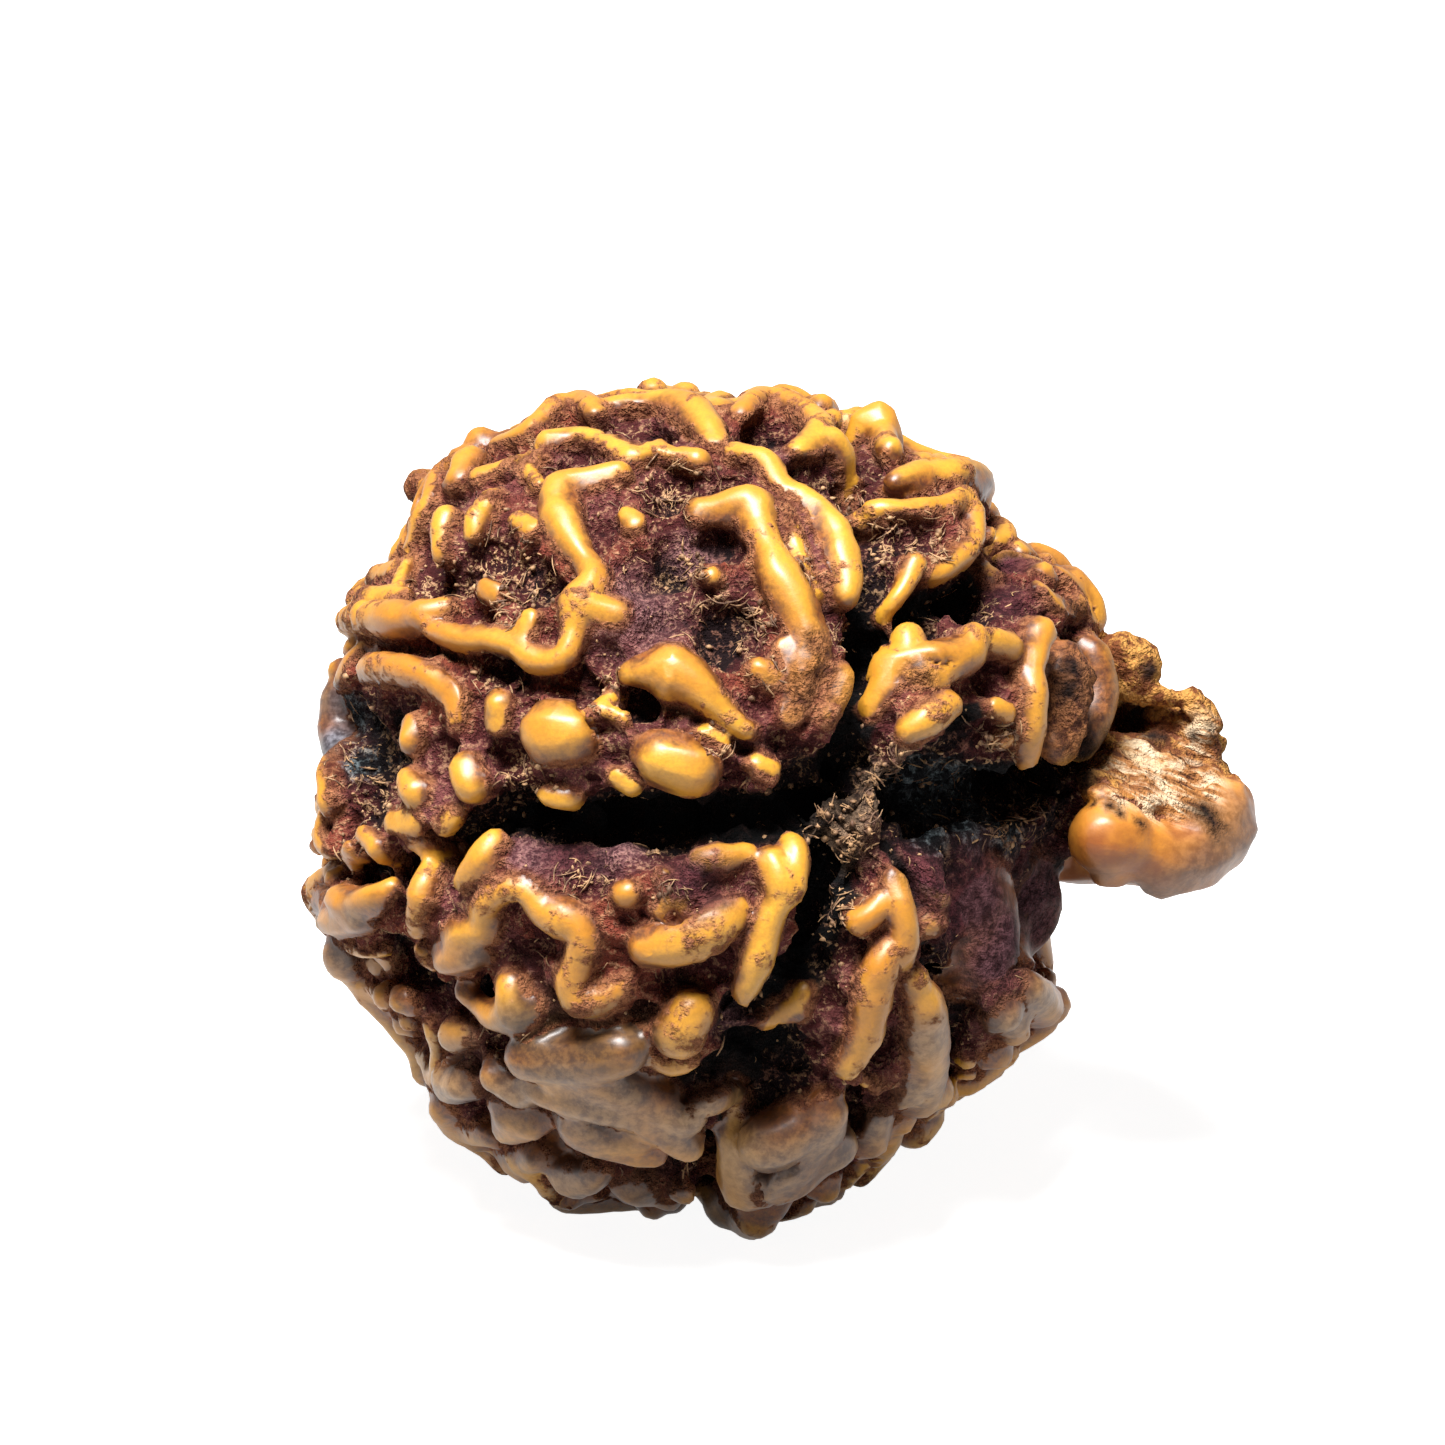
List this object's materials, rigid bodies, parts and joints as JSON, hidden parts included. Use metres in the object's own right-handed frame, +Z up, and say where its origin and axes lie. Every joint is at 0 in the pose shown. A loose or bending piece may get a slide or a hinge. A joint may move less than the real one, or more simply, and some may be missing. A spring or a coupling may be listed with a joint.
{
  "type": "rudraksha seed",
  "caption": "Hard, rounded seed stone with deep seams, a raised net of worm-like ridges and beads all over, and a short thick trunk-like outgrowth on one side.",
  "frame": {"origin": "middle of the small worn flat that the stone rests on, below the middle of its body", "axes": "+Z up; +X towards the trunk, along the longest extent; the face with the stalk scar looks along -Y and a little up"},
  "size_m": [0.0271, 0.0245, 0.023],
  "materials": {
    "seed_shell": "hard polished ridges over a dark, fibrous ground"
  },
  "bodies": {
    "root": {"rudraksha_stone": "seed_shell"}
  },
  "joints": []
}
